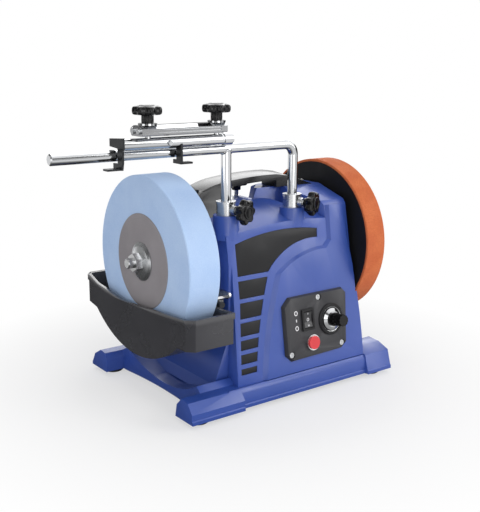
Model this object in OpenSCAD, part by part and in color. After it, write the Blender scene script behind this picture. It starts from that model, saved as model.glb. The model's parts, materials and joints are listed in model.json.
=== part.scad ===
// Two-wheel wet grinding sharpener with a support bar and a blade-clamping jig.
// X runs along the spindle, from the grinding wheel to the honing wheel, the
// controls face -Y, and Z rises from the floor under the middle of the base.

/* [Base] */
// Length of the base, along the spindle
base_w = 310; // [304:1:330]
// Depth of the base, front to rear
base_d = 240; // [236:1:270]
// Height of the rubber feet under the base
foot_h = 6; // [4:0.5:9]
// Height of the flat top that the housing stands on
base_top = 30; // [28:1:34]
// Radius of a rubber foot
foot_r = 13; // [9:0.5:15]
// Wall of the base and of the housing
wall = 3.5; // [2.5:0.5:4.5]
// Distance of the base's left side from the middle, between its feet
side_left = 130; // [124:1:140]
// Radius of the scoop under the grinding wheel
scoop_r = 155; // [148:1:160]

/* [Housing] */
// Distance of the housing's left wall from the middle, at the base
housing_left = 83; // [81:1:86]
// Inward lean of the left wall, in degrees
left_lean = 2.5; // [0:0.5:3]
// Distance of the housing's right wall from the middle
housing_right = 107.5; // [105:0.5:110]
// Distance of the raised front face from the spindle's origin, at the base
front_y = 110; // [108:1:113]
// Backward lean of the front face, in degrees
front_lean = 9; // [6:0.5:10]
// Depth of the left and upper panel behind the raised front
panel_d = 4; // [2:0.5:5]
// Height of the shoulder's front edge
shoulder_z = 224; // [222:1:228]
// Height of the seat on top of the shoulder
seat_z = 243; // [241:1:247]
// Left face of the shoulder
shoulder_x = 45; // [44:1:50]
// Height of the deck's front edge, at its left end
deck_z = 201.5; // [199:0.5:204]
// Depth of the black trim's pockets
trim_d = 1.5; // [1:0.25:2]

/* [Spindle and wheels] */
// Height of the spindle
spindle_z = 170; // [168:1:174]
// Setback of the spindle, measured towards the front
spindle_y = -10; // [-12:1:-8]
// Diameter of the spindle
spindle_d = 12; // [10:1:14]
// Diameter of both wheels
wheel_d = 200; // [190:1:204]
// Width of the grinding wheel
stone_w = 40; // [35:1:42]
// Space between the housing and the grinding wheel
stone_gap = 28; // [26:1:30]
// Diameter of the metal disc on the grinding wheel
disc_d = 112; // [90:1:130]
// Diameter of the domed flange
flange_d = 45; // [38:1:52]
// Distance across the flats of the wheel nuts
nut_af = 19; // [17:1:22]
// Diameter of the honing wheel over its leather
honing_d = 203; // [194:1:206]
// Width of the honing wheel
honing_w = 30; // [24:1:34]
// Space between the housing and the honing wheel
honing_gap = 4.5; // [3.5:0.5:8]
// Thickness of the leather on the honing wheel
leather_t = 3; // [2:0.5:5]

/* [Drive] */
// Radius of the pulley on the spindle
pulley_r = 46; // [40:1:48]
// Radius of the pulley on the motor
pinion_r = 11; // [9:0.5:14]
// Width of the drive belt
belt_w = 10; // [8:1:12]
// Radius of the motor
motor_r = 42; // [36:1:44]
// Length of the motor
motor_l = 86; // [70:1:90]

/* [Support bar] */
// Diameter of the support bar
bar_d = 12; // [11:0.5:13]
// Height of the bar over the floor
bar_z = 301; // [298:1:310]
// Setback of the bar, measured towards the front
bar_y = -65; // [-66:0.5:-64]
// Left end of the bar
bar_left = 285; // [270:1:300]
// Position of the left leg
leg_left = -72; // [-73:0.5:-70]
// Position of the right leg
leg_right = 26; // [24:0.5:27]
// Radius of the bend over the right leg
bend_r = 13; // [12:0.5:20]
// Height of the legs' lower ends
leg_end = 197; // [194:1:204]
// Outer diameter of the sleeves that hold the legs
sleeve_d = 22; // [20:0.5:24]
// Height of the front sleeves' upper ends
sleeve_top = 241; // [238:0.5:243]
// Height of the rear sleeves' axes
rear_sleeve_z = 209; // [207:0.5:210]
// Running clearance, measured on the radius
slip = 0.08; // [0.05:0.01:0.1]

/* [Trough] */
// Gap between the grinding wheel and the trough, under the wheel
trough_gap = 10.5; // [9:0.5:12]
// Radius of the trough's belly
belly_r = 148; // [140:1:156]
// Wall of the trough
trough_t = 2.5; // [2:0.25:3]
// Height of the trough's rim at its front
trough_rim = 127; // [124:1:130]
// Space between the wheel's outer face and the trough's outer wall
trough_out = 9; // [6:0.5:12]

/* [Controls] */
// Thickness of the control plate
plate_t = 5; // [4:0.5:6]
// Diameter of the speed dial's bezel
dial_d = 39; // [36:1:40]
// Length of the speed knob
knob_l = 22; // [18:1:26]
// Diameter of the reset button
reset_d = 17; // [14:0.5:18]

/* [Jig] */
// Length of the jig's lower rod
jaw_l = 138; // [132:1:142]
// Diameter of the jig's lower rod
jaw_d = 12; // [11:0.5:13]
// Depth of the clamp bar, front to rear
clamp_d = 24; // [20:1:28]
// Thickness of the clamp bar
clamp_h = 11; // [9:0.5:12]
// Radius of the jig's star knobs
jig_knob_r = 16; // [14:0.5:17]

/* [Hidden] */
$fn = 64;
blue = "#3f4c96";
black = "#26272a";
charcoal = "#3a3a3d";
chrome = "#c9ccd0";
steel = "#9a9da1";
join = 0.5; // overlap that welds the shapes of one solid
lip_h = 4; // height of the lip round the base's lower edge
lip_d = 1.2; // depth of that lip
half_d = base_d / 2;
half_w = base_w / 2;
panel_y = front_y - panel_d;
front_slope = tan(front_lean);
left_slope = tan(left_lean);
cos_lean = cos(front_lean);
wheel_r = wheel_d / 2;
honing_r = honing_d / 2;
wall_x = -(housing_left - 1.5); // left wall, behind the leaning corner post
spindle_r = spindle_d / 2;
stone_in = -(housing_left + stone_gap);
stone_out = stone_in - stone_w;
honing_in = housing_right + honing_gap;
honing_out = honing_in + honing_w;
pocket_r = honing_r + 2.5; // relief in the housing beside the honing wheel
bar_r = bar_d / 2;
sleeve_r = sleeve_d / 2;
boss_r = sleeve_r + 4;
boss_top = sleeve_top - 16;
sleeve_low = boss_top - 24;
lock_z = boss_top + 6; // height of the front lock screws
lock_left = 17; // degrees that the front lock screws turn to the right
lock_right = 25;
function lock_turn(x) = x < 0 ? lock_left : lock_right;
stud_r = 3;
star_r = 15; // radius of a lock knob's star
pad_r = 5.8; // threaded pad on the side of a sleeve
pad_l = 4;
rear_boss_y = 40; // rear faces of the housing's rear bosses
rear_sleeve_end = rear_boss_y + 17;
rear_sleeve_in = 6; // inner end of the rear sleeves
rear_lock_y = rear_boss_y + 9;
fit = 0.15; // clearance round an insert
deck_right = 207.5; // height of the deck's front edge at its right end
deck_end = 73;
deck_sag = 5.2;
crest_y = -25; // rear edge of the rising deck
deck_climb = 21.8; // slope of the deck in degrees
channel_z = 222; // floor behind the deck
dial_x = 57.8; // places on the front face, as x and height
dial_z = 86;
reset_x = 26;
reset_z = 63;
rocker_x = 21;
rocker_z = 91.5;
rocker_w = 18.5;
rocker_h = 26;
motor_y = 22;
motor_z = 82;
pulley_x = 66; // middle of the belt's run
trough_low = spindle_z - wheel_r - trough_gap - trough_t;
belly_y = spindle_y + 7; // middle of the belly
trough_x0 = stone_out - trough_out;
trough_x1 = -(housing_left + 19);
trough_front = -122;
trough_rear = 118;
shelf_z = 91.5; // bottom of the trough's two shallow ends
guide_x = -(housing_left + 11); // trough's guide pins
guide_r = 3;
guide_ys = [-74, 62];
strap_z = trough_rim + 8.7; // middle of the trough's strap
strap_screws = [-60, 35];
jaw_r = jaw_d / 2;
jaw_y = bar_y - 11; // the lower rod lies ahead of the bar and above it
jaw_z = bar_z + 11.6;
jaw_x1 = leg_left - 1;
jaw_x0 = jaw_x1 - jaw_l;
clamp_x0 = jaw_x0 + 19.5;
clamp_x1 = jaw_x1 - 12;
clamp_y = jaw_y + 2; // middle of the clamp bar
clamp_z = jaw_z + jaw_r + 1.8;
stud_xs = [clamp_x0 + 12, clamp_x1 - 8];
hook_t = 2.5;
hook_mid = jaw_x0 + 68; // second hook

// ---- helpers ----

// A point between p and q, pushed sideways by a parabola of the given sag.
function bow(p, q, sag, t) = let(d = q - p, n = [-d[1], d[0]] / norm(d))
    p + d * t + n * 4 * sag * t * (1 - t);

// The bowed line from p to q without its last point, as n points.
function sweep(p, q, sag, n = 8) = [for (i = [0 : n - 1]) bow(p, q, sag, i / n)];

// A round arc about c from angle a to angle b.
function arc(c, r, a, b, n = 8) =
    [for (i = [0 : n]) let(t = a + (b - a) * i / n) c + r * [cos(t), sin(t)]];

// The left wall's x at a height.
function left_x(z) = -housing_left + (z - base_top) * left_slope;

// Heights on the leaning front face, measured along it from the base's top.
function up(z) = (z - base_top) / cos_lean;
function on_face(pts) = [for (p = pts) [p[0], up(p[1])]];

// Places its children on the panel plane of the front: X to the right, Y up
// along the face and Z outward. The raised face lies at panel_d.
module front_face()
    translate([0, -panel_y, base_top]) rotate([90 - front_lean, 0, 0]) children();

// Extrudes a drawing of (x, z) from y0 to y1, or one of (y, z) from x0 to x1.
module along_y(y0, y1)
    translate([0, y1, 0]) rotate([90, 0, 0]) linear_extrude(y1 - y0) children();
module along_x(x0, x1)
    translate([x0, 0, 0]) rotate([90, 0, 90]) linear_extrude(x1 - x0) children();

// A rod along X or Y.
module rod_x(x0, x1, r) translate([x0, 0, 0]) rotate([0, 90, 0]) cylinder(r = r, h = x1 - x0);
module rod_y(y0, y1, r) translate([0, y1, 0]) rotate([90, 0, 0]) cylinder(r = r, h = y1 - y0);

// A plate whose side walls slope from a lower outline to an upper one, both
// drawn clockwise. It is drawn a little high and cut level.
module slab(low, high, h) {
    n = len(low);
    over = 1;
    top = [for (i = [0 : n - 1]) low[i] + (high[i] - low[i]) * (h + over) / h];
    difference() {
        polyhedron(
            points = concat([for (p = low) [p[0], p[1], 0]], [for (p = top) [p[0], p[1], h + over]]),
            faces = concat([[for (i = [0 : n - 1]) n - 1 - i]], [[for (i = [0 : n - 1]) n + i]],
                [for (i = [0 : n - 1]) [i, (i + 1) % n, n + (i + 1) % n]],
                [for (i = [0 : n - 1]) [i, n + (i + 1) % n, n + i]]));
        translate([-300, -300, h]) cube([600, 600, 2 * over]);
    }
}

// Places its children on the spindle's axis.
module on_spindle() translate([0, spindle_y, spindle_z]) children();

// ---- base ----

function front_foot() = [[-half_d, foot_h], [-half_d, foot_h + lip_h],
    [-half_d + lip_d, foot_h + lip_h + 1], [-half_d + lip_d, foot_h + 12],
    [-half_d + 10, foot_h + 23], [-half_d + 23, foot_h + 25],
    [-half_d + 33, foot_h + 15], [-half_d + 36, foot_h]];
function rear_foot() = [[half_d, foot_h], [half_d, foot_h + lip_h],
    [half_d - lip_d, foot_h + lip_h + 1], [half_d - 8, foot_h + 17],
    [half_d - 24, foot_h + 26], [half_d - 37, foot_h + 25],
    [half_d - 41, foot_h + 18], [half_d - 39, foot_h]];
function right_foot() = [[-half_d, foot_h], [-half_d, foot_h + lip_h],
    [-half_d + lip_d, foot_h + lip_h + 1], [-half_d + 7, foot_h + 24],
    [-half_d + 24, foot_h + 30.5], [-half_d + 42, foot_h + 32],
    [-half_d + 54, foot_h + 26], [-half_d + 58, foot_h]];
middle_y = front_y + 3; // front face of the base's middle stretch
function middle_section() = [[-middle_y - lip_d, foot_h], [-middle_y - lip_d, foot_h + lip_h],
    [-middle_y, foot_h + lip_h + 1], [-middle_y, base_top - 6], [-front_y + 0.2, base_top],
    [front_y - 2, base_top], [middle_y - 4, base_top - 6], [middle_y - 4, foot_h]];
flank_y = -half_d + 23;
function flank_section() = [[flank_y, foot_h], [flank_y, foot_h + 25], [flank_y + 7, foot_h + 32],
    [70, foot_h + 32], [83, foot_h + 25], [83, foot_h]];
foot_in = half_w - 56; // inner ends of the left feet
foot_x = 114; // inner ends of the right feet
side_r = 642; // sweep of the base's left side, in plan
feet_spots = [for (x = [-1, 1], y = [-1, 1]) [x * (half_w - 20), y * (half_d - 20)]];
foot_peg = 4; // radius of the peg that holds a foot
foot_hole = 2.2; // radius of the screw hole through a foot

// Wedge that joins the wall beside the grinding wheel to the scoop, cut to a
// range of heights.
wedge_x = 106;
wedge_z = 17;
wedge_top = 80;
function wedge_at(z) = -wedge_x + (z - wedge_z) * (wedge_x - housing_left) / (wedge_top - wedge_z);
module wedge(z0, z1) along_y(-84, 70) polygon([[wedge_at(z0), z0], [wedge_at(z1), z1],
    [-housing_left + 3, z1], [-housing_left + 3, z0]]);

cavity_x0 = -(housing_left - 12);
cavity_x1 = housing_right - wall;
screw_spots = [for (x = [cavity_x0 + 5, cavity_x1 - 6], y = [26 - front_y, front_y - 32]) [x, y]];

module base_frame() color(blue) difference() {
    union() {
        along_x(-foot_in, foot_x) polygon(middle_section());
        along_x(-half_w, -housing_left + join) polygon(front_foot());
        along_x(-half_w, -housing_left + join) polygon(rear_foot());
        along_x(foot_x, half_w) polygon(right_foot());
        mirror([0, 1, 0]) along_x(foot_x, half_w) polygon(right_foot());
        difference() {
            along_x(-side_left, -housing_left + join) polygon(flank_section());
            on_spindle() rod_x(-half_w, -housing_left + 2 * join, scoop_r);
            translate([-side_left - side_r + 5, -8, 0]) cylinder(r = side_r, h = base_top * 2, $fn = 160);
        }
        translate([foot_x - join, -half_d + 50, foot_h])
            cube([14, base_d - 100, base_top - foot_h]);
        wedge(wedge_z, base_top);
    }
    wedge(base_top, wedge_top);
    // hollow under the flat top
    translate([cavity_x0, -middle_y + wall + 2, -1])
        cube([cavity_x1 - cavity_x0, 2 * middle_y - 2 * wall - 10, base_top - wall + 1]);
    // clears the housing's footprint
    translate([-housing_left, -middle_y, base_top])
        cube([housing_left + right_low[0] + fit, 2 * middle_y, 60]);
    for (p = feet_spots) translate([p[0], p[1], foot_h - 1]) {
        cylinder(r = foot_peg, h = 10);
        cylinder(r = foot_hole + 0.2, h = 16);
    }
    for (p = screw_spots) translate([p[0], p[1], 0]) cylinder(r = 2.7, h = base_top + 1);
}

module bottom_cover() color(black) difference() {
    translate([cavity_x0 + fit, -middle_y + wall + 2 + fit, foot_h + 1])
        cube([cavity_x1 - cavity_x0 - 2 * fit, 2 * middle_y - 2 * wall - 10 - 2 * fit, 2]);
    for (i = [-4 : 4]) translate([i * 12 - 2, -30, 0]) cube([4, 60, base_top]);
}

module rubber_feet() color("#1b1b1c")
    for (p = feet_spots) translate([p[0], p[1], 0]) {
        rotate_extrude() polygon([[foot_hole, 0], [foot_r - 1.5, 0], [foot_r, 1.5],
            [foot_r - 0.6, foot_h], [foot_peg - fit, foot_h], [foot_peg - fit, foot_h + 8],
            [foot_hole, foot_h + 8]]);
    }

// ---- housing ----

raised_foot = base_top + 0.6;
foot_low = [-48.4, raised_foot];
foot_turn = [-15.6, 151.8];
face_low = [-42, raised_foot];
face_turn = [-9.5, 151.5];
right_low = [114, base_top];
right_turn = [107.4, 138];
right_in = [0.8, 0]; // step from the side wall to the raised front
right_foot = [right_low[0], raised_foot] - right_in;
// Outline of the raised front where it leaves the panel, and at its face.
function raised_low() = concat(sweep(foot_low, foot_turn, 4.3), sweep(foot_turn, [61.4, 176.3], 6),
    [[61.4, 176.3], [69.2, 183.1], [69.4, shoulder_z], [housing_right - 4, shoulder_z], [105.4, 178]],
    sweep(right_turn - right_in, right_foot, 2.5, 4), [right_foot]);
function raised_high() = concat(sweep(face_low, face_turn, 4.5), sweep(face_turn, [64.4, 172.2], 6.3),
    [[64.4, 172.2], [73, 180.8], [73.5, shoulder_z], [92, shoulder_z], [99.6, 178]],
    sweep(right_turn - right_in, right_foot, 2.5, 4), [right_foot]);

// Edges of the raised front's sweep and of the trim beside it, at a height.
function sweep_x(z) = let(t = (z - foot_low[1]) / (foot_turn[1] - foot_low[1]))
    foot_low[0] + (foot_turn[0] - foot_low[0]) * t - 4 * 4.3 * t * (1 - t);
function trim_left(z) = -70.4 - max(0, 125 - z) * 0.08;
function trim_right(z) = sweep_x(z) - 7.5 - (z - 42) * 0.03;
trim_rows = [[150, 129.3], [124.8, 106.4], [102, 86.6], [82, 70.5], [65.8, 54.6], [49.5, 42.3]];

module trim_shapes(gap) {
    linear_extrude(trim_d + 2) {
        polygon(on_face(concat(
            sweep([-70.3 + gap, 192.4 - gap], [55 - gap, 197.6 - gap], 7, 12),
            [[55 - gap, 197.6 - gap]],
            sweep([54.2 - gap, 186.9 + gap], [-19.9, 161.5 + gap], -8.5, 10),
            [[-19.9, 161.5 + gap], [-25.3 - gap, 155.4 + gap], [-70.3 + gap, 155.4 + gap]])));
        for (r = trim_rows) polygon(on_face([[trim_left(r[1]) + gap, r[1] + gap],
            [trim_right(r[1]) - gap, r[1] + gap], [trim_right(r[0]) - gap, r[0] - gap],
            [trim_left(r[0]) + gap, r[0] - gap]]));
    }
}

module front_trim() color(black) intersection() {
    front_face() translate([0, 0, -trim_d]) trim_shapes(fit);
    front_face() translate([-housing_left, 0, -trim_d - 1]) cube([2 * housing_left, 200, trim_d + 1 - 0.25]);
}

shoulder_front = -panel_y + (shoulder_z - base_top) * front_slope;
post_y = -84; // rear of the leaning corner post
seat_y0 = -26;
seat_y1 = 8;
rear_y = 100;
rear_turn_y = 74;
rear_turn_z = 150;
rear_top_y = 46;
function side_section() = [[-panel_y, base_top], [shoulder_front, shoulder_z],
    [shoulder_front + 4, shoulder_z + 5], [-42, seat_z - 5], [seat_y0, seat_z], [seat_y1, seat_z],
    [28, seat_z - 3], [42, seat_z - 8], [rear_top_y, channel_z], [rear_turn_y, rear_turn_z],
    [92, 80], [rear_y, base_top]];
function front_section() = concat([[-housing_left, base_top], right_low],
    sweep(right_low, right_turn, -2.5, 4),
    [right_turn, [housing_right - 1, 180], [housing_right - 3.5, seat_z + 3], [-housing_left, seat_z + 3]]);

// Everything above the deck, as a solid to cut away. A hump behind the deck's
// crest stays, and carries the shoulder on to the left.
hump_left = -1;
hump_y = -18;
module above_deck() difference() {
    over_deck();
    intersection() {
        along_y(hump_y, 30) polygon([[hump_left, channel_z - 1], [hump_left + 11, seat_z + 4],
            [shoulder_x + 10, seat_z + 4], [shoulder_x + 10, channel_z - 1]]);
        linear_extrude(300) polygon([[hump_left, hump_y], [shoulder_x + 10, hump_y],
            [shoulder_x + 10, 30], [hump_left + 48, 30], [hump_left + 12, hump_y + 8]]);
    }
}
module over_deck() {
    rise = (crest_y + panel_y - (deck_z - base_top) * front_slope) * tan(deck_climb);
    intersection() {
        translate([0, crest_y, 0]) rotate([deck_climb, 0, 0]) {
            lift = rise * cos(deck_climb);
            top = 330;
            along_y(-70, 130) polygon(concat(
                [for (p = sweep([-housing_left - 1, deck_z], [deck_end, deck_right], deck_sag, 12))
                    [p[0], p[1] * cos(deck_climb) + lift]],
                [[deck_end, deck_right * cos(deck_climb) + lift], [deck_end, top], [-housing_left - 1, top]]));
        }
        // stays left of the shoulder
        linear_extrude(400) polygon([[-housing_left - 1, -140], [deck_end, -140],
            [deck_end - 2, shoulder_front - 4], [shoulder_x, -32], [shoulder_x, 120],
            [-housing_left - 1, 120]]);
    }
    // low floor behind the crest, whose right end curves to the front
    translate([0, 0, channel_z]) linear_extrude(100) polygon(concat(
        [[-housing_left - 1, crest_y], [4, crest_y]],
        arc([4, crest_y - 33], 33, 85, 20, 8), [[shoulder_x, crest_y - 22], [shoulder_x, 120],
        [-housing_left - 1, 120]]));
    // slope down to the rear bosses
    along_x(-housing_left - 1, shoulder_x) polygon([[30, channel_z + 1], [62, rear_turn_z],
        [120, rear_turn_z], [120, channel_z + 1]]);
}

module housing_shell() {
    difference() {
        intersection() {
            along_x(-housing_left - 1, 130) polygon(side_section());
            along_y(-front_y - 10, rear_y + 10) polygon(front_section());
        }
        above_deck();
        // the corner post leans in, and the wall behind it steps back
        along_y(-front_y - 10, post_y) polygon([[-housing_left - 1, base_top - 1],
            [left_x(base_top - 1), base_top - 1], [left_x(boss_top), boss_top],
            [-housing_left - 1, boss_top]]);
        translate([-housing_left - 1, post_y - join, base_top - 1])
            cube([wall_x + housing_left + 1, 2 * front_y, seat_z]);
    }
    front_face() translate([0, 0, -join])
        slab(on_face(raised_low()), on_face(raised_high()), panel_d + join);
    wedge(base_top, wedge_top);
}

// Hollow inside the housing, wall by wall.
module housing_cavity() {
    inner = -panel_y + wall + trim_d + 1;
    along_x(cavity_x0, cavity_x1) polygon([[inner, base_top - 1],
        [inner + (deck_z - wall - base_top) * front_slope, deck_z - wall - 2],
        [crest_y, channel_z - wall], [26, channel_z - wall], [58, rear_turn_z - wall],
        [rear_turn_y - wall - 2, rear_turn_z - wall - 4], [92 - wall - 1, 80], [rear_y - wall, base_top - 1]]);
    along_x(shoulder_x + wall + 2, cavity_x1 - 2) polygon([[shoulder_front + wall + 4, 190],
        [shoulder_front + wall + 5, shoulder_z - wall], [-42, seat_z - 5 - wall], [seat_y0, seat_z - wall],
        [seat_y1, seat_z - wall], [36, seat_z - 6 - wall], [rear_top_y - wall - 2, 190]]);
}

bush_r = 14;
window_low = [2, 54.8];
window_high = [79, 111];
module housing() color(blue) difference() {
    union() {
        difference() {
            union() {
                housing_shell();
                for (x = [leg_left, leg_right]) {
                    translate([x, bar_y, boss_top - 23]) cylinder(r = boss_r, h = 23);
                    translate([x, rear_boss_y - 14, rear_sleeve_z]) rod_y(0, 14, boss_r);
                }
            }
            housing_cavity();
        }
        // guide tubes for the legs and the rear sleeves
        for (x = [leg_left, leg_right]) {
            translate([x, bar_y, sleeve_low - 4]) cylinder(r = boss_r, h = 20);
            translate([x, 0, rear_sleeve_z]) rod_y(rear_sleeve_in, 30, boss_r);
        }
        for (x = [cavity_x0 - join, cavity_x1 - 12]) on_spindle() rod_x(x, x + 12 + join, bush_r + 4);
        for (p = screw_spots) {
            translate([p[0], p[1], base_top]) cylinder(r = 6, h = 22);
            translate([p[0] > 0 ? p[0] : cavity_x0 - 1, p[1] - 2, base_top]) cube([7, 4, 20]);
        }
    }
    for (x = [leg_left, leg_right]) {
        translate([x, bar_y, sleeve_low]) cylinder(r = sleeve_r + 0.02, h = 80);
        translate([x, bar_y, leg_end - 42]) cylinder(r = bar_r + 1, h = 80);
        translate([x, 0, rear_sleeve_z]) rod_y(rear_sleeve_in, 80, sleeve_r + 0.02);
        translate([x, 0, rear_sleeve_z]) rod_y(-10, 80, bar_r + 1);
    }
    on_spindle() rod_x(-housing_left - 30, cavity_x0 + 13, bush_r);
    on_spindle() rod_x(cavity_x1 - 13, 150, bush_r);
    // relief beside the honing wheel
    on_spindle() rod_x(housing_right, 140, pocket_r);
    front_face() translate([0, 0, -trim_d]) trim_shapes(0);
    front_face() translate([window_low[0], up(window_low[1]), -30])
        cube([window_high[0] - window_low[0], up(window_high[1]) - up(window_low[1]), 60]);
    for (p = plate_screw_spots) front_face() translate([p[0], up(p[1]), -3]) cylinder(r = 1.6, h = 20);
    for (p = screw_spots) translate([p[0], p[1], base_top - 1]) cylinder(r = 2, h = 20);
    // cooling slots in the rear wall
    for (i = [0 : 7]) translate([-32 + i * 12, 60, 80]) rotate([-14.4, 0, 0])
        translate([-2.5, 0, -28]) cube([5, 60, 56]);
    on_gland() rod_y(-20, 20, gland_r);
    for (p = handle_spots) translate([p[0], p[1], handle_low(p) - 1]) cylinder(r = 2, h = 40);
    for (y = strap_screws) translate([wall_x, y, strap_z]) rod_x(-1, 14, 2);
}

module spindle_bushes() color("#b08a4a") on_spindle()
    for (x = [cavity_x0 - 1, cavity_x1 - 12]) difference() {
        rod_x(x, x + 12, bush_r - 0.02);
        rod_x(x - 1, x + 14, spindle_r + slip);
    }

gland_x = -40;
gland_z = 56;
gland_r = 8;
module on_gland() translate([gland_x, rear_y - 3.4, gland_z]) rotate([-8, 0, 0]) children();
module cord_gland() color("#1b1b1c") on_gland()
    difference() {
        union() {
            rod_y(-6, 3.2, gland_r - fit);
            rod_y(3.2, 6, gland_r + 3);
            translate([0, 24, 0]) rotate([90, 0, 0]) cylinder(r1 = 5.5, r2 = 7, h = 18.5);
        }
        rod_y(-10, 30, 3.8);
    }

module housing_screws() color(steel)
    for (p = screw_spots) translate([p[0], p[1], 0]) {
        translate([0, 0, base_top - wall - 3]) cylinder(r = 4.2, h = 3);
        translate([0, 0, base_top - wall - join]) cylinder(r = 1.9, h = 18);
    }

// ---- controls ----

plate_low = [[-14.5, 112], [-4, 121.5], [82.5, 121.5], [88, 116], [83, 52.5], [74, 46], [-5.5, 44.5],
    [-14.5, 53]];
plate_centre = [36, 83];
plate_bevel = 0.955; // size of the plate's face as a share of its foot
plate_screw_spots = [[41, 115.5], [74.5, 53.5], [-6.5, 53]];

module control_plate() color(black) front_face() difference() {
    translate([0, 0, panel_d]) slab(on_face(plate_low),
        on_face([for (p = plate_low) plate_centre + (p - plate_centre) * plate_bevel]), plate_t);
    translate([rocker_x, up(rocker_z), 0]) cube([rocker_w - 3, rocker_h - 3, 30], center = true);
    translate([reset_x, up(reset_z), 0]) cylinder(r = reset_d / 2 - 1, h = 20);
    translate([dial_x, up(dial_z), 0]) cylinder(r = 5.5, h = 20);
    for (p = plate_screw_spots) translate([p[0], up(p[1]), 0]) {
        cylinder(r = 1.8, h = 20);
        translate([0, 0, panel_d + plate_t - 3]) cylinder(r = 4.2, h = 5);
    }
}

module plate_screws() color(steel) for (p = plate_screw_spots)
    front_face() translate([p[0], up(p[1]), panel_d + plate_t - 3]) {
        difference() {
            cylinder(r = 3.3, h = 1.8);
            for (a = [0, 90]) rotate(a) translate([0, 0, 1.8]) cube([4, 0.8, 1.6], center = true);
        }
        translate([0, 0, -8.5]) cylinder(r = 1.4, h = 9);
    }

face_z = panel_d + plate_t; // the control plate's face, from the panel plane
module rocker_frame() color("#1d1d1f") front_face()
    translate([rocker_x, up(rocker_z), face_z]) difference() {
        union() {
            translate([-rocker_w / 2, -rocker_h / 2, 0]) cube([rocker_w, rocker_h, 2]);
            translate([-rocker_w / 2 + 1.7, -rocker_h / 2 + 1.7, -18]) cube([rocker_w - 3.4, rocker_h - 3.4, 18.5]);
        }
        translate([-rocker_w / 2 + 2.7, -rocker_h / 2 + 2.7, -12]) cube([rocker_w - 5.4, rocker_h - 5.4, 20]);
    }

module rocker_switch() color("#3b3b3e") front_face()
    translate([rocker_x, up(rocker_z), face_z]) rotate([90, 0, 90]) {
        w = rocker_w - 6.4;
        l = rocker_h / 2 - 3.6;
        translate([0, 0, -w / 2]) linear_extrude(w)
            polygon([[-l, 1.8], [-l + 1, -2.5], [-2, -8], [2, -8], [l - 1, -2.5], [l, 1.8], [3, 0.6], [-3, 0.6]]);
    }

module reset_breaker() color("#8f9194") front_face() translate([reset_x, up(reset_z), face_z])
    difference() {
        union() {
            cylinder(r = reset_d / 2 + 1.1, h = 2.6);
            translate([0, 0, -22]) cylinder(r = reset_d / 2 - 1.3, h = 22.5);
        }
        translate([0, 0, -14]) cylinder(r = reset_d / 2 - 2.8, h = 20);
        translate([0, 0, 0.6]) cylinder(r = reset_d / 2, h = 5);
    }

module reset_button() color("#d8262c") front_face() translate([reset_x, up(reset_z), face_z]) {
    translate([0, 0, 2.4]) cylinder(r = reset_d / 2 - 0.35, h = 2.2);
    translate([0, 0, -9]) cylinder(r = reset_d / 2 - 3.1, h = 12.5);
}

module dial_bezel() color("#151516") front_face() translate([dial_x, up(dial_z), face_z])
    difference() {
        rotate_extrude() polygon([[4.2, 0], [dial_d / 2, 0], [dial_d / 2, 1.4], [dial_d / 2 - 1.4, 2.6],
            [dial_d / 2 - 3.6, 2.6], [dial_d / 2 - 5, 1.2], [4.2, 1.2]]);
    }

shaft_r = 3;
skirt_r = dial_d / 2 - 6;
module knob_skirt() color(chrome) front_face() translate([dial_x, up(dial_z), face_z])
    rotate_extrude() polygon([[shaft_r, 1.6], [skirt_r, 1.6], [skirt_r, 3], [skirt_r - 3.6, 5.4], [shaft_r, 5.4]]);

module speed_knob() color("#151516") front_face() translate([dial_x, up(dial_z), face_z]) {
    difference() {
        union() {
            translate([0, 0, 5.4]) cylinder(r = 8.6, h = 3);
            translate([0, 0, 8]) cylinder(r = 7.2, h = knob_l - 6);
        }
        for (a = [0 : 30 : 330]) rotate(a) translate([8.6, 0, 8.8]) cylinder(r = 2, h = knob_l);
    }
    translate([0, 0, -12]) cylinder(r = shaft_r - slip, h = 18);
}

// Potentiometer and its circuit board behind the control plate
module speed_control() color("#2f6b45") front_face() {
    translate([dial_x, up(dial_z), -8]) difference() {
        union() {
            cylinder(r = 8, h = 9);
            translate([0, 0, 8.5]) cylinder(r = 5, h = face_z - 0.5);
        }
        translate([0, 0, 1.5]) cylinder(r = shaft_r, h = 40);
    }
    translate([34, up(70), -10]) difference() {
        cube([46, 46, 2.2]);
        translate([reset_x - 34, up(reset_z) - up(70), -1]) cylinder(r = 12, h = 5);
    }
    for (p = [[38, 74], [70, 104]]) translate([p[0], up(p[1]), -24]) cylinder(r = 5, h = 14.2);
}

// ---- handle ----

handle_y0 = crest_y;
handle_y1 = handle_y0 + 30;
handle_left = -housing_left - 7;
handle_post = -57; // right side of the left post
handle_tilt = 5; // rise of the handle's top towards the rear, in degrees
handle_spots = [[-82, -17], [-82, -3], [84, -12], [84, 0]];
opening_right = 34;
opening_z = seat_z + 9; // top of the finger opening
function handle_top() = concat([[handle_left, seat_z - 15], [handle_left, seat_z - 5], [-80, seat_z + 3]],
    sweep([-80, seat_z + 3], [-52, seat_z + 11.6], 1, 4),
    sweep([-52, seat_z + 11.6], [34, seat_z + 16.2], 1.8, 8),
    [[34, seat_z + 16.2], [52, seat_z + 13.4], [93, seat_z], [93, seat_z - 20]]);

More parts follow.
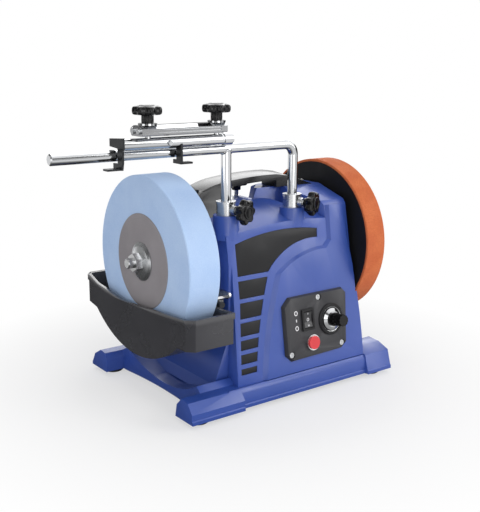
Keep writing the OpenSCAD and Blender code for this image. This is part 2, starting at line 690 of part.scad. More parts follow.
module carry_handle() color(black) difference() {
    union() {
        // grip and right post, whose top rises to the rear
        intersection() {
            translate([0, handle_y0, seat_z + 7]) rotate([handle_tilt, 0, 0]) translate([0, 0, -seat_z - 7])
                along_y(-12, 50) polygon(concat(handle_top(), [[0, seat_z - 53],
                    [handle_post - 8, seat_z - 17]]));
            translate([-120, handle_y0, 190]) cube([240, handle_y1 - handle_y0, 100]);
        }
        // left post, saddled over the top of the housing's left wall
        intersection() {
            along_x(handle_left, -20) polygon([[-48, deck_z + 5], [-30, seat_z - 8],
                [handle_y0, seat_z + 7], [handle_y1, seat_z + 7], [12, seat_z - 8], [28, deck_z + 5]]);
            along_y(-60, 60) polygon([[handle_left, deck_z], [handle_left, seat_z - 5], [-80, seat_z + 3],
                [-30, seat_z + 13], [-30, opening_z - 1], [handle_post, seat_z - 17],
                [handle_post, deck_z]]);
        }
    }
    // finger opening
    along_y(-60, 60) polygon(concat([[handle_post, 150], [handle_post, seat_z - 17]],
        sweep([handle_post, seat_z - 17], [-32, opening_z - 3], 4, 5),
        sweep([-32, opening_z - 3], [opening_right, opening_z], 1, 6),
        [[opening_right, opening_z], [opening_right, 150]]));
    translate([0, -60, 0]) cube([120, 120, seat_z]);
    housing_shell();
    // arch over the left rear sleeve's boss
    translate([leg_left, 0, rear_sleeve_z]) rod_y(rear_sleeve_in - 2, 60, boss_r + fit);
    // sunk screw holes
    for (p = handle_spots) translate([p[0], p[1], 0]) {
        cylinder(r = 2.4, h = 300);
        translate([0, 0, handle_sunk(p)]) cylinder(r = 4.4, h = 60);
    }
}

function handle_sunk(p) = p[0] < 0 ? seat_z - 7 : seat_z + 2;
function handle_low(p) = p[0] < 0 ? deck_z - 6 : seat_z - 9;
module handle_screws() color(steel) for (p = handle_spots) translate([p[0], p[1], 0]) {
    translate([0, 0, handle_sunk(p)]) cylinder(r = 4, h = 2.4);
    translate([0, 0, handle_low(p)]) cylinder(r = 1.9, h = handle_sunk(p) - handle_low(p) + join);
}

// ---- spindle, wheels and drive ----

// A turned part on the spindle, drawn as (radius, x).
module turned(points, n = 64) on_spindle() rotate([0, 90, 0])
    rotate_extrude($fn = n) polygon(points);

spindle_out = stone_out - 21;
module spindle() color(steel) turned([[0, spindle_out], [spindle_r - 1, spindle_out],
    [spindle_r, spindle_out + 1], [spindle_r, honing_out + 14], [spindle_r - 1, honing_out + 15],
    [0, honing_out + 15]]);

hub_r = spindle_r + 0.02;
sleeve_turned = 10; // radius of the spacers along the spindle
module grinding_wheel() color("#a9c3e8") turned([[hub_r, stone_out], [wheel_r - 1, stone_out],
    [wheel_r, stone_out + 1], [wheel_r, stone_in - 1], [wheel_r - 1, stone_in], [hub_r, stone_in]], 180);

module wheel_disc() color("#a7a19b") turned([[hub_r, stone_out - 1], [disc_d / 2 - 0.5, stone_out - 1],
    [disc_d / 2, stone_out - 0.5], [disc_d / 2, stone_out], [hub_r, stone_out]], 120);

module outer_flange() color(chrome) turned([[hub_r, stone_out - 5.5], [sleeve_turned, stone_out - 5.5],
    [flange_d / 2 - 4, stone_out - 3.6], [flange_d / 2, stone_out - 2], [flange_d / 2, stone_out - 1],
    [hub_r, stone_out - 1]]);

// Inner flange of the grinding wheel with its spacer, and the honing wheel's spacer
module inner_flange() color(steel) {
    turned([[hub_r, stone_in], [25, stone_in], [25, stone_in + 3], [sleeve_turned, stone_in + 4],
        [sleeve_turned, cavity_x0 - 2], [hub_r, cavity_x0 - 2]]);
    turned([[hub_r, cavity_x1 + 1], [sleeve_turned, cavity_x1 + 1], [sleeve_turned, honing_in],
        [hub_r, honing_in]]);
}

module hex_nut(x0, x1) on_spindle() translate([x0, 0, 0]) rotate([0, 90, 0]) difference() {
    linear_extrude(x1 - x0) polygon([for (i = [0 : 5]) nut_af / 2 / cos(30) * [cos(60 * i), sin(60 * i)]]);
    translate([0, 0, -1]) cylinder(r = hub_r, h = x1 - x0 + 2);
}
module wheel_nut() color(chrome) hex_nut(stone_out - 13.5, stone_out - 5.5);

module honing_core() color("#1c1b1b") turned([[hub_r, honing_in], [honing_r - leather_t, honing_in],
    [honing_r - leather_t, honing_out], [honing_r - 9, honing_out], [honing_r - 13, honing_out - 4],
    [30, honing_out - 4], [26, honing_out], [hub_r, honing_out]], 160);

module leather_tyre() color("#c8693a") turned([[honing_r - leather_t, honing_in],
    [honing_r - 0.8, honing_in], [honing_r, honing_in + 0.8], [honing_r, honing_out - 0.8],
    [honing_r - 0.8, honing_out], [honing_r - leather_t, honing_out]], 160);

module honing_nut() color(steel) {
    turned([[hub_r, honing_out], [16, honing_out], [16, honing_out + 2], [hub_r, honing_out + 2]]);
    hex_nut(honing_out + 2, honing_out + 10);
}

module drive_pulley() color("#2a2a2c") turned([[hub_r, pulley_x - belt_w / 2 - 2],
    [pulley_r + 2.5, pulley_x - belt_w / 2 - 2], [pulley_r + 2.5, pulley_x - belt_w / 2 - 0.8],
    [pulley_r, pulley_x - belt_w / 2 - 0.8], [pulley_r, pulley_x + belt_w / 2 + 0.8],
    [pulley_r + 2.5, pulley_x + belt_w / 2 + 0.8], [pulley_r + 2.5, pulley_x + belt_w / 2 + 2],
    [hub_r, pulley_x + belt_w / 2 + 2]], 96);

// Outline of a belt round the two pulleys, at a distance from their grooves.
belt_run = norm([motor_y - spindle_y, motor_z - spindle_z]);
belt_dir = atan2(motor_z - spindle_z, motor_y - spindle_y);
belt_wrap = acos((pulley_r - pinion_r) / belt_run);
function belt_line(gap) = concat(
    arc([spindle_y, spindle_z], pulley_r + gap, belt_dir + belt_wrap, belt_dir + 360 - belt_wrap, 40),
    arc([motor_y, motor_z], pinion_r + gap, belt_dir - belt_wrap, belt_dir + belt_wrap, 16));
module drive_belt() color("#161617") along_x(pulley_x - belt_w / 2, pulley_x + belt_w / 2)
    difference() {
        polygon(belt_line(2.2));
        polygon(belt_line(0.3));
    }

motor_x1 = pulley_x - belt_w / 2 - 10;
motor_x0 = motor_x1 - motor_l;
bracket_t = 4;
shaft_r2 = 4;
module on_motor() translate([0, motor_y, motor_z]) children();
module motor() color("#6f7275") on_motor() difference() {
    union() {
        rod_x(motor_x0, motor_x0 + 14, motor_r - 2);
        rod_x(motor_x0 + 14 - join, motor_x1 - 12, motor_r);
        rod_x(motor_x1 - 12 - join, motor_x1, motor_r - 2);
    }
    rod_x(motor_x0 + 6, motor_x1 + 1, shaft_r2 + slip);
}
module motor_bracket() color(steel) {
    difference() {
        along_x(motor_x1, motor_x1 + bracket_t) polygon([[-28, base_top], [70, base_top], [70, 60],
            [52, motor_z + 44], [0, motor_z + 44], [-28, 60]]);
        on_motor() rod_x(motor_x1 - 1, motor_x1 + bracket_t + 1, shaft_r2 + 4);
    }
    translate([motor_x1 - 24, -28, base_top]) cube([24 + join, 98, 3.5]);
}
module motor_shaft() color(chrome) on_motor() {
    rod_x(motor_x0 + 7, pulley_x + belt_w / 2 + 4, shaft_r2);
}
module motor_pulley() color("#2a2a2c") translate([0, motor_y - spindle_y, motor_z - spindle_z])
    turned([[shaft_r2 + 0.02, pulley_x - belt_w / 2 - 2], [pinion_r + 2.5, pulley_x - belt_w / 2 - 2],
        [pinion_r + 2.5, pulley_x - belt_w / 2 - 0.8], [pinion_r, pulley_x - belt_w / 2 - 0.8],
        [pinion_r, pulley_x + belt_w / 2 + 0.8], [pinion_r + 2.5, pulley_x + belt_w / 2 + 0.8],
        [pinion_r + 2.5, pulley_x + belt_w / 2 + 2], [shaft_r2 + 0.02, pulley_x + belt_w / 2 + 2]]);

// ---- trough ----

rim_line = [[trough_rear, 4], [107, 3], [89, -3], [65, -5.5], [27, -10], [-16, -8], [-57, -4],
    [-114, 0], [trough_front, 0.5]];
// Side view of the trough, drawn in by a gap and with its rim raised.
function trough_side(gap, rise) = let(r = belly_r - gap, mid = trough_low + belly_r,
    a = asin((mid - shelf_z - gap) / r)) concat([[trough_front + gap, shelf_z + gap]],
    arc([belly_y, mid], r, 180 + a, 360 - a, 24), [[trough_rear - 3 - gap, shelf_z + 4 + gap]],
    [for (p = rim_line) [p[0] + (p[0] > 110 ? -gap : p[0] < -115 ? gap : 0), trough_rim + p[1] + rise]]);
function trough_plan(gap) = [[trough_x0 + gap, trough_front + 8 + gap / 2],
    [trough_x0 + 8 + gap / 2, trough_front + gap], [trough_x1 - gap, trough_front + gap],
    [trough_x1 - gap, trough_rear - gap], [trough_x0 + 6 + gap / 2, trough_rear - gap],
    [trough_x0 + gap, trough_rear - 6 - gap / 2]];
module trough_shape(gap, rise) intersection() {
    along_x(trough_x0 + gap, trough_x1 - gap) polygon(trough_side(gap, rise));
    linear_extrude(200) polygon(trough_plan(gap));
}
lug_z0 = trough_rim - 6.5;
lug_h = 10;
module water_trough() color(charcoal) {
    difference() {
        union() {
            trough_shape(0, 0);
            for (y = guide_ys) translate([trough_x1 - join, y - 8, lug_z0])
                cube([guide_x + 7 - trough_x1 + join, 16, lug_h]);
        }
        difference() {
            trough_shape(trough_t, 10);
            // the lugs stay outside the basin
            translate([trough_x1 - join * 2, -200, 0]) cube([40, 400, 300]);
        }
        for (y = guide_ys) translate([guide_x, y, lug_z0 - 1]) cylinder(r = guide_r + slip, h = lug_h + 2);
        translate([guide_x, guide_ys[0], lug_z0 + 6]) rod_y(-12, 0, 2.08);
    }
    // lip round the rim
    difference() {
        intersection() {
            linear_extrude(200) polygon(trough_plan(-lip));
            along_x(trough_x0 - 5, trough_x1 + 5) polygon(concat(rim_band(0), rim_band(-lip_drop)));
        }
        linear_extrude(200) polygon(trough_plan(1));
    }
}
lip = 1.3;
lip_drop = 7;
function rim_band(dz) = let(n = len(rim_line)) [for (i = [0 : n - 1])
    let(p = rim_line[dz == 0 ? i : n - 1 - i])
    [p[0] + (p[0] > 110 ? lip : p[0] < -115 ? -lip : 0), trough_rim + p[1] + dz]];

module trough_screw() color("#b5893c") translate([guide_x, guide_ys[0], lug_z0 + 6]) {
    rod_y(-11, -guide_r - 0.2, 2);
    rod_y(-15, -9, 3.8);
}

strap_t = 2.5;
strap_h = 8;
strap_front = -85;
module trough_strap() color("#b9bcc0") difference() {
    union() {
        translate([0, strap_front, strap_z]) rod_x(wall_x - strap_t, wall_x, strap_h / 2);
        translate([wall_x - strap_t, strap_front, strap_z - strap_h / 2])
            cube([strap_t, 155, strap_h]);
        for (y = guide_ys) translate([guide_x - 6, y - 7, strap_z - strap_h / 2])
            cube([wall_x - guide_x + 6, 14, 3]);
    }
    for (y = guide_ys) translate([guide_x, y, 0]) cylinder(r = guide_r - 0.4, h = 200);
    for (y = strap_screws) translate([wall_x, y, strap_z]) rod_x(-4, 9, 2);
}

module trough_guides() color(chrome) {
    for (y = guide_ys) translate([guide_x, y, 0]) {
        cylinder_from(lug_z0 - 34.5, strap_z - strap_h / 2, guide_r);
        cylinder_from(strap_z - strap_h / 2 - 1, strap_z - strap_h / 2 + 3, guide_r - 0.42);
    }
    for (y = strap_screws) translate([wall_x, y, strap_z]) {
        rod_x(-strap_t - 1.6, -strap_t, 3.4);
        rod_x(-strap_t - join, 9, 1.9);
    }
}

// ---- support bar ----

module support_bar() color(chrome) {
    translate([0, bar_y, bar_z]) rotate([0, 90, 0]) rotate_extrude() translate([0, -bar_left]) polygon(
        [[0, 0], [bar_r - 1.2, 0], [bar_r, 1.2], [bar_r, bar_left + leg_right - bend_r],
        [0, bar_left + leg_right - bend_r]]);
    translate([leg_right - bend_r, bar_y, bar_z - bend_r]) rotate([90, 0, 0])
        rotate_extrude(angle = 90) translate([bend_r, 0]) circle(r = bar_r);
    for (x = [leg_left, leg_right]) translate([x, bar_y, leg_end]) rotate_extrude() polygon([[0, 0],
        [bar_r - 1, 0], [bar_r, 1], [bar_r, leg_len(x)], [0, leg_len(x)]]);
}
function leg_len(x) = bar_z - leg_end - (x > 0 ? bend_r : 0);

// A sleeve along +Z with a rim at its end and a threaded pad on its side.
module sleeve(low, high, lock, end_rim) difference() {
    union() {
        translate([0, 0, low]) cylinder(r = sleeve_r, h = high - low);
        if (end_rim) translate([0, 0, high - 2.5]) cylinder(r = sleeve_r + 0.6, h = 2.5);
        translate([0, 0, lock]) rod_y(-sleeve_r - pad_l, -sleeve_r + 2, pad_r);
    }
    translate([0, 0, low - 1]) cylinder(r = bar_r + slip, h = high - low + 2);
    translate([0, 0, lock]) rod_y(-sleeve_r - pad_l - 1, 0, stud_r + slip);
}

module front_sleeves() color(chrome) for (x = [leg_left, leg_right])
    translate([x, bar_y, 0]) rotate(lock_turn(x)) sleeve(sleeve_low, sleeve_top, lock_z, true);

// The rear sleeves lie along +Y with their pads on top.
module rear_sleeves() color(chrome) for (x = [leg_left, leg_right])
    translate([x, 0, rear_sleeve_z]) rotate([-90, 0, 0])
        sleeve(rear_sleeve_in, rear_sleeve_end, rear_lock_y, false);

// Star knob and screw along +Z from the clamped rod's axis.
star_at = sleeve_r + pad_l + 4;
module star(r, h, n) {
    translate([0, 0, 0.4]) cylinder(r = r * 0.8, h = h - 0.8);
    for (i = [0 : n - 1]) rotate((i + 0.5) * 360 / n) translate([r * 0.8, 0, 0]) cylinder(r = r * 0.2, h = h);
}
module lock_knob(more) {
    cylinder_from(bar_r + 0.3, star_at + more + 2, stud_r);
    cylinder_from(star_at + more - 2, star_at + more + 5, 6);
    translate([0, 0, star_at + more + 4]) difference() {
        union() {
            star(star_r, 9, 7);
            translate([0, 0, 3]) cylinder(r = 8, h = 7.5);
        }
        translate([0, 0, 9.4]) cylinder(r = 5, h = 3);
    }
}
module cylinder_from(z0, z1, r) translate([0, 0, z0]) cylinder(r = r, h = z1 - z0);

module front_knob(x) color("#1b1b1c") translate([x, bar_y, lock_z]) rotate([90, 0, lock_turn(x)])
    lock_knob(0);
module front_knob_left() front_knob(leg_left);
module front_knob_right() front_knob(leg_right);
module rear_knob(x) color("#1b1b1c") translate([x, rear_lock_y, rear_sleeve_z])
    lock_knob(5);
module rear_knob_left() rear_knob(leg_left);
module rear_knob_right() rear_knob(leg_right);

// ---- jig ----

module jig_rod() color(chrome) translate([0, jaw_y, jaw_z]) difference() {
    union() {
        rod_x(jaw_x0, jaw_x1, jaw_r);
        rod_x(jaw_x1 - 12, jaw_x1 - 1.5, jaw_r + 0.8);
    }
    translate([jaw_x0 + 54.5, 0, 0]) rod_y(-20, 0, 2.6);
    for (x = stud_xs) translate([x, 0, -20]) cylinder(r = stud_r + 0.02, h = 40);
}

// Plates that carry the jig on the bar: one at the rod's left end, one under it
module jig_hooks() color("#35363a") {
    translate([jaw_x0 - hook_t, 0, 0]) {
        along_x(0, hook_t) polygon([[bar_y - 19, bar_z + 7.5], [bar_y - 17, bar_z + 7.5],
            [bar_y - 17, bar_z - 6], [bar_y - 15, bar_z - 14], [bar_y + 2, bar_z - 14],
            [bar_y + 2, bar_z - 7.6], [bar_y - 7.6, bar_z - 7.6], [bar_y - 7.6, bar_z + 8],
            [bar_y + 9, bar_z + 9], [bar_y + 9, bar_z + 17], [bar_y - 19, bar_z + 19]]);
        translate([-15, bar_y - 14, bar_z - 14]) cube([15 + hook_t, 10, 2]);
    }
    difference() {
        union() {
            along_x(hook_mid, hook_mid + hook_t) polygon([[bar_y - 17, bar_z + 10], [bar_y - 7.6, bar_z + 10],
                [bar_y - 7.6, bar_z - 7.6], [bar_y - 1, bar_z - 7.6], [bar_y - 1, bar_z - 12],
                [bar_y - 17, bar_z - 12]]);
            translate([hook_mid, bar_y - 17, bar_z - 12]) cube([15, 9, 2]);
        }
        translate([0, jaw_y, jaw_z]) rod_x(hook_mid - 1, hook_mid + 4, jaw_r + 0.02);
    }
}

module jig_grub_screw() color(chrome) translate([jaw_x0 + 54.5, jaw_y, jaw_z])
    rod_y(-jaw_r - 2.5, -0.5, 2.58);

module clamp_screws() color(chrome) for (y = [-6, 6])
    translate([clamp_x0, clamp_y + y, clamp_z + clamp_h / 2]) rod_x(-2.4, 0, 3.2);

// Studs that stand on the jig's rod and carry the clamp bar and its knobs
module jig_studs() color(steel) for (x = stud_xs) translate([x, jaw_y, 0])
    cylinder_from(jaw_z - jaw_r + 1, clamp_z + clamp_h + 12, stud_r);

module jig_clamp_bar() color(chrome) difference() {
    along_x(clamp_x0, clamp_x1) polygon([[clamp_y - clamp_d / 2, clamp_z + 1.5],
        [clamp_y - clamp_d / 2 + 2, clamp_z], [clamp_y + clamp_d / 2 - 2, clamp_z],
        [clamp_y + clamp_d / 2, clamp_z + 1.5], [clamp_y + clamp_d / 2, clamp_z + clamp_h - 3],
        [clamp_y + clamp_d / 2 - 6, clamp_z + clamp_h], [clamp_y - clamp_d / 2 + 6, clamp_z + clamp_h],
        [clamp_y - clamp_d / 2, clamp_z + clamp_h - 3]]);
    for (x = stud_xs) translate([x, jaw_y, 0]) cylinder(r = stud_r + slip, h = 400);
    // grooves along the front face
    for (z = [3.5, 6.5]) translate([clamp_x0 + 12, clamp_y - clamp_d / 2 - 1, clamp_z + z])
        cube([clamp_x1 - clamp_x0 - 20, 2, 1.2]);
}

jig_top = clamp_z + clamp_h;
module jig_washers() color(chrome) for (x = stud_xs) translate([x, jaw_y, jig_top]) difference() {
    cylinder(r = 10, h = 2);
    translate([0, 0, -1]) cylinder(r = stud_r + slip, h = 4);
}
module jig_knob(x) color("#1b1b1c") translate([x, jaw_y, jig_top + 2]) difference() {
    union() {
        translate([0, 0, 0.1]) cylinder(r = 6.5, h = 9);
        translate([0, 0, 8.5]) star(jig_knob_r, 9, 7);
        translate([0, 0, 8.5]) cylinder(r = jig_knob_r * 0.55, h = 10);
    }
    translate([0, 0, -1]) cylinder(r = stud_r + slip, h = 12);
}
module jig_knob_left() jig_knob(stud_xs[0]);
module jig_knob_right() jig_knob(stud_xs[1]);

housing();
base_frame();
bottom_cover();
rubber_feet();
front_trim();
control_plate();
plate_screws();
rocker_frame();
rocker_switch();
reset_breaker();
reset_button();
dial_bezel();
speed_knob();
knob_skirt();
speed_control();
carry_handle();
handle_screws();
spindle();
spindle_bushes();
drive_pulley();
drive_belt();
motor();
motor_bracket();
motor_shaft();
motor_pulley();
grinding_wheel();
wheel_disc();
inner_flange();
outer_flange();
wheel_nut();
honing_core();
leather_tyre();
honing_nut();
water_trough();
trough_strap();
trough_guides();
trough_screw();
support_bar();
front_sleeves();
rear_sleeves();
front_knob_left();
front_knob_right();
rear_knob_left();
rear_knob_right();
jig_rod();
jig_hooks();
jig_studs();
jig_grub_screw();
jig_clamp_bar();
clamp_screws();
jig_knob_left();
jig_knob_right();
jig_washers();
cord_gland();
housing_screws();
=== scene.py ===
import json
import math
import bpy
import bmesh
import numpy as np
from mathutils import Matrix, Vector

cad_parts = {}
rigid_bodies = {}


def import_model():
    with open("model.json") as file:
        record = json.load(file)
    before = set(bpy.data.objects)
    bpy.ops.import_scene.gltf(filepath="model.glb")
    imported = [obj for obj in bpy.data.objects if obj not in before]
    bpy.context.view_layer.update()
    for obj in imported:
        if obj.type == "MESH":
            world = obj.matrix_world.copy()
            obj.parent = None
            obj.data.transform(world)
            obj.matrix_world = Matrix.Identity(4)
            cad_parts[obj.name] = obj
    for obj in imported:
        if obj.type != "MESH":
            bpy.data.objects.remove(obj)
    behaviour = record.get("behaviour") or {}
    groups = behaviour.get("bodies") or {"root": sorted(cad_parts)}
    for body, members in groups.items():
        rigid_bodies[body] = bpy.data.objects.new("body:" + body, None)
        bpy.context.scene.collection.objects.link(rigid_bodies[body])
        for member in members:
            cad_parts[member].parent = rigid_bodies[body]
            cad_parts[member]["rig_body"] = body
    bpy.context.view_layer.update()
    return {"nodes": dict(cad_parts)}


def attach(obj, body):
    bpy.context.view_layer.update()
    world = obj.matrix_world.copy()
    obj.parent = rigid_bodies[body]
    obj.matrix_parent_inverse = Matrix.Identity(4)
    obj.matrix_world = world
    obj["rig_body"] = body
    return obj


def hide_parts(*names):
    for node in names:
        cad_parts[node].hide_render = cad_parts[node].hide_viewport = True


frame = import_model()
nodes = frame["nodes"]
scene = bpy.context.scene
scene.view_settings.view_transform = "Standard"
print("frame loaded:", len(nodes), "solids")

# camera
cameraLook = {"yaw": 36.59, "pitch": 13.25, "roll": 0.42, "place": (-0.6195, -0.83, 0.398), "lens": 58.68}


def makeCamera(look):
    yaw, pitch, roll = (math.radians(look[k]) for k in ("yaw", "pitch", "roll"))
    ahead = Vector((math.sin(yaw) * math.cos(pitch), math.cos(yaw) * math.cos(pitch), -math.sin(pitch)))
    right = Vector((math.cos(yaw), -math.sin(yaw), 0))
    up = right.cross(ahead)
    turnedRight = right * math.cos(roll) + up * math.sin(roll)
    turnedUp = up * math.cos(roll) - right * math.sin(roll)
    data = bpy.data.cameras.new("camera")
    data.sensor_width, data.lens = 36, look["lens"]
    data.clip_start, data.clip_end = 0.05, 30
    camera = bpy.data.objects.new("camera", data)
    turn = Matrix((turnedRight, turnedUp, -ahead)).transposed().to_4x4()
    camera.matrix_world = Matrix.Translation(look["place"]) @ turn
    scene.collection.objects.link(camera)
    scene.camera = camera


makeCamera(cameraLook)
print("camera placed")


# helpers for materials
# An sRGB hex code as linear red, green, blue and full alpha.
def toLinear(code):
    parts = [int(code[i:i + 2], 16) / 255 for i in (1, 3, 5)]
    return (*[c / 12.92 if c <= 0.04045 else ((c + 0.055) / 1.055) ** 2.4 for c in parts], 1.0)


# Adds one node: each setting is an input's value or a property, each link a socket to join.
def addNode(tree, kind, settings=None, links=None):
    node = tree.nodes.new(kind)
    for key, value in (settings or {}).items():
        if isinstance(key, int) or key in node.inputs:
            node.inputs[key].default_value = value
        elif key == "stops":
            ramp = node.color_ramp.elements
            while len(ramp) < len(value):
                ramp.new(0.5)
            for stop, (place, colour) in zip(ramp, value):
                stop.position, stop.color = place, colour
        else:
            setattr(node, key, value)
    for key, socket in (links or {}).items():
        tree.links.new(socket, node.inputs[key])
    return node


def newMaterial(name):
    material = bpy.data.materials.new(name)
    material.use_nodes = True
    material.node_tree.nodes.clear()
    return material, material.node_tree


# A noise scale whose features are about this many millimetres across.
def perMm(size):
    return 1000 / size


# what a finish has where it says nothing else
plainLook = {"stretch": (1, 1, 1), "patchMm": 60, "grainMm": 1, "wearMm": 25, "strength": 0.4,
             "depthMm": 0.05, "metallic": 0.0, "coat": 0.0, "coatRough": 0.1, "specular": 0.5, "ior": 1.5, "speckle": 0}


# A finish from its colours, gloss and grain. The colour drifts between two hex codes in wide patches,
# fine speckle moves it again, roughness follows a second noise, and the grain presses
# the surface in by a few hundredths of a millimetre.
def surface(name, look):
    look = {**plainLook, **look}
    material, tree = newMaterial(name)
    place = addNode(tree, "ShaderNodeTexCoord").outputs["Object"]
    stretched = addNode(tree, "ShaderNodeMapping", {"Scale": look["stretch"]},
                        {"Vector": place}).outputs["Vector"]
    patches = addNode(tree, "ShaderNodeTexNoise", {"Scale": perMm(look["patchMm"]), "Detail": 3.0},
                      {"Vector": place}).outputs["Fac"]
    spread = addNode(tree, "ShaderNodeMapRange", {"From Min": 0.35, "From Max": 0.65}, {"Value": patches})
    colour = addNode(tree, "ShaderNodeMix", {"data_type": "RGBA", 6: toLinear(look["colour"]),
                                             7: toLinear(look["second"])},
                     {0: spread.outputs[0]}).outputs[2]
    grain = addNode(tree, "ShaderNodeTexNoise", {"Scale": perMm(look["grainMm"]), "Detail": 2.0,
                                                 "Roughness": 0.6}, {"Vector": stretched}).outputs["Fac"]
    if look["speckle"]:
        sharp = addNode(tree, "ShaderNodeMapRange", {"From Min": 0.42, "From Max": 0.62}, {"Value": grain})
        amount = addNode(tree, "ShaderNodeMath", {"operation": "MULTIPLY", 1: look["speckle"]},
                         {0: sharp.outputs[0]}).outputs[0]
        colour = addNode(tree, "ShaderNodeMix", {"data_type": "RGBA", 7: toLinear(look["speckleColour"])},
                         {0: amount, 6: colour}).outputs[2]
    low, high = look["rough"]
    worn = addNode(tree, "ShaderNodeTexNoise", {"Scale": perMm(look["wearMm"]), "Detail": 5.0},
                   {"Vector": stretched}).outputs["Fac"]
    rough = addNode(tree, "ShaderNodeMapRange", {"From Min": 0.3, "From Max": 0.7, "To Min": low,
                                                 "To Max": high}, {"Value": worn}).outputs[0]
    bump = addNode(tree, "ShaderNodeBump", {"Strength": look["strength"],
                                            "Distance": look["depthMm"] / 1000}, {"Height": grain})
    shader = addNode(tree, "ShaderNodeBsdfPrincipled", {
        "Metallic": look["metallic"], "Coat Weight": look["coat"], "Coat Roughness": look["coatRough"],
        "Specular IOR Level": look["specular"], "IOR": look["ior"]},
        {"Base Color": colour, "Roughness": rough, "Normal": bump.outputs[0]})
    addNode(tree, "ShaderNodeOutputMaterial", {}, {"Surface": shader.outputs[0]})
    return material


# finishes
finishes = {
    # powder coat of the housing and the base in one blue: soft gloss with a fine orange peel
    "bluePowderCoat": {"colour": "#2C4A9A", "second": "#324EA0", "rough": (0.3, 0.42), "grainMm": 1.6,
                       "depthMm": 0.03, "strength": 0.3, "patchMm": 90, "specular": 0.7},
    # spark-textured ABS of the trim, the dial's bezel and the rocker's frame: dull black with a fine tooth
    "texturedBlackAbs": {"colour": "#1B1B1D", "second": "#212123", "rough": (0.36, 0.5), "grainMm": 0.9,
                         "depthMm": 0.05, "strength": 0.5, "specular": 0.25},
    # the handle is of the same ABS, polished by hands
    "wornBlackAbs": {"colour": "#151517", "second": "#1A1A1C", "rough": (0.2, 0.3), "grainMm": 0.9,
                     "depthMm": 0.03, "strength": 0.3, "specular": 0.4},
    # the bottom cover and the rocker
    "charcoalAbs": {"colour": "#242427", "second": "#2A2A2D", "rough": (0.26, 0.38), "grainMm": 0.9,
                    "depthMm": 0.05, "strength": 0.5},
    # the trough: dark grey moulded ABS with more gloss
    "troughAbs": {"colour": "#38383C", "second": "#3E3E42", "rough": (0.2, 0.3), "grainMm": 0.9,
                  "depthMm": 0.04, "strength": 0.4, "specular": 0.8},
    # control plate: dark grey moulded ABS, a little lighter than the trim
    "greyAbs": {"colour": "#333336", "second": "#39393C", "rough": (0.36, 0.48), "grainMm": 0.8,
                "depthMm": 0.05, "strength": 0.6, "specular": 0.35},
    # phenolic star knobs: near black and shiny
    "blackPhenolic": {"colour": "#0C0C0E", "second": "#121214", "rough": (0.1, 0.18), "grainMm": 3,
                      "depthMm": 0.02, "strength": 0.2, "specular": 0.3},
    # chrome plate over polished tube: a clean mirror with faint draw marks along it
    "chromePlate": {"colour": "#C3C4C6", "second": "#B6B8BA", "rough": (0.07, 0.13), "grainMm": 1.2,
                    "depthMm": 0.004, "strength": 0.3, "metallic": 1.0, "stretch": (0.08, 1, 1)},
    # turned nickel-plated steel: mirror broken by fine tool rings
    "turnedNickel": {"colour": "#D8D9DA", "second": "#CCCDCE", "rough": (0.22, 0.32), "grainMm": 0.8,
                     "depthMm": 0.012, "strength": 0.6, "metallic": 1.0, "stretch": (0.05, 0.05, 1)},
    "zincSteel": {"colour": "#CACCCE", "second": "#BCBEC1", "rough": (0.2, 0.32), "grainMm": 1,
                  "depthMm": 0.01, "strength": 0.4, "metallic": 1.0},
    # phosphated and oiled pressed steel of the jig's hooks
    "blackenedSteel": {"colour": "#232426", "second": "#303134", "rough": (0.22, 0.34), "grainMm": 1,
                       "depthMm": 0.02, "strength": 0.4, "metallic": 0.6},
    # vitrified white aluminium oxide, 220 grit, tinted blue: matt, with grains that catch the light
    "blueGrindstone": {"colour": "#A5C0E6", "second": "#AFC8EA", "rough": (0.8, 0.95), "grainMm": 1.1,
                       "depthMm": 0.12, "strength": 0.7, "patchMm": 40, "speckle": 0.35,
                       "speckleColour": "#C3D6F2", "specular": 0.3},
    # vegetable-tanned leather on the tyre, flesh side out: short nap, fine pores, rub marks
    "tannedLeather": {"colour": "#C2643A", "second": "#CC7042", "rough": (0.7, 0.85), "grainMm": 1.5,
                      "depthMm": 0.12, "strength": 0.8, "patchMm": 18, "speckle": 0.4,
                      "speckleColour": "#A9532E", "specular": 0.3},
    "blackPaintedCore": {"colour": "#0E0E10", "second": "#141416", "rough": (0.5, 0.65), "grainMm": 1.2,
                         "depthMm": 0.04, "strength": 0.4, "specular": 0.3},
    # the dull grey disc on the stone's face
    "blotterPaper": {"colour": "#858185", "second": "#908C90", "rough": (0.75, 0.9), "grainMm": 1,
                     "depthMm": 0.03, "strength": 0.4, "speckle": 0.15, "speckleColour": "#BDB9B5",
                     "specular": 0.25},
    "blackRubber": {"colour": "#171718", "second": "#1E1E1F", "rough": (0.6, 0.75), "grainMm": 1,
                    "depthMm": 0.04, "strength": 0.5},
    "redAbs": {"colour": "#CC1822", "second": "#D82530", "rough": (0.15, 0.25), "grainMm": 2,
               "depthMm": 0.01, "strength": 0.2, "coat": 0.5},
    "silverRing": {"colour": "#E6E7E8", "second": "#DADBDD", "rough": (0.22, 0.3), "grainMm": 1,
                   "depthMm": 0.005, "strength": 0.3, "metallic": 1.0},
    # sintered bronze spindle bushes
    "sinteredBronze": {"colour": "#A8793F", "second": "#96682F", "rough": (0.35, 0.5), "grainMm": 0.7,
                       "depthMm": 0.03, "strength": 0.5, "metallic": 1.0},
    "castAluminium": {"colour": "#9A9C9F", "second": "#8A8C8F", "rough": (0.4, 0.55), "grainMm": 1.4,
                      "depthMm": 0.06, "strength": 0.6, "metallic": 1.0},
    "circuitBoard": {"colour": "#1E5B3A", "second": "#256844", "rough": (0.3, 0.4), "grainMm": 2,
                     "depthMm": 0.02, "strength": 0.3},
    "whiteInk": {"colour": "#E9E9EA", "second": "#DFDFE1", "rough": (0.45, 0.55), "grainMm": 0.6,
                 "depthMm": 0.01, "strength": 0.3},
}
materials = {name: surface(name, look) for name, look in finishes.items()}
print("finishes made:", len(materials))


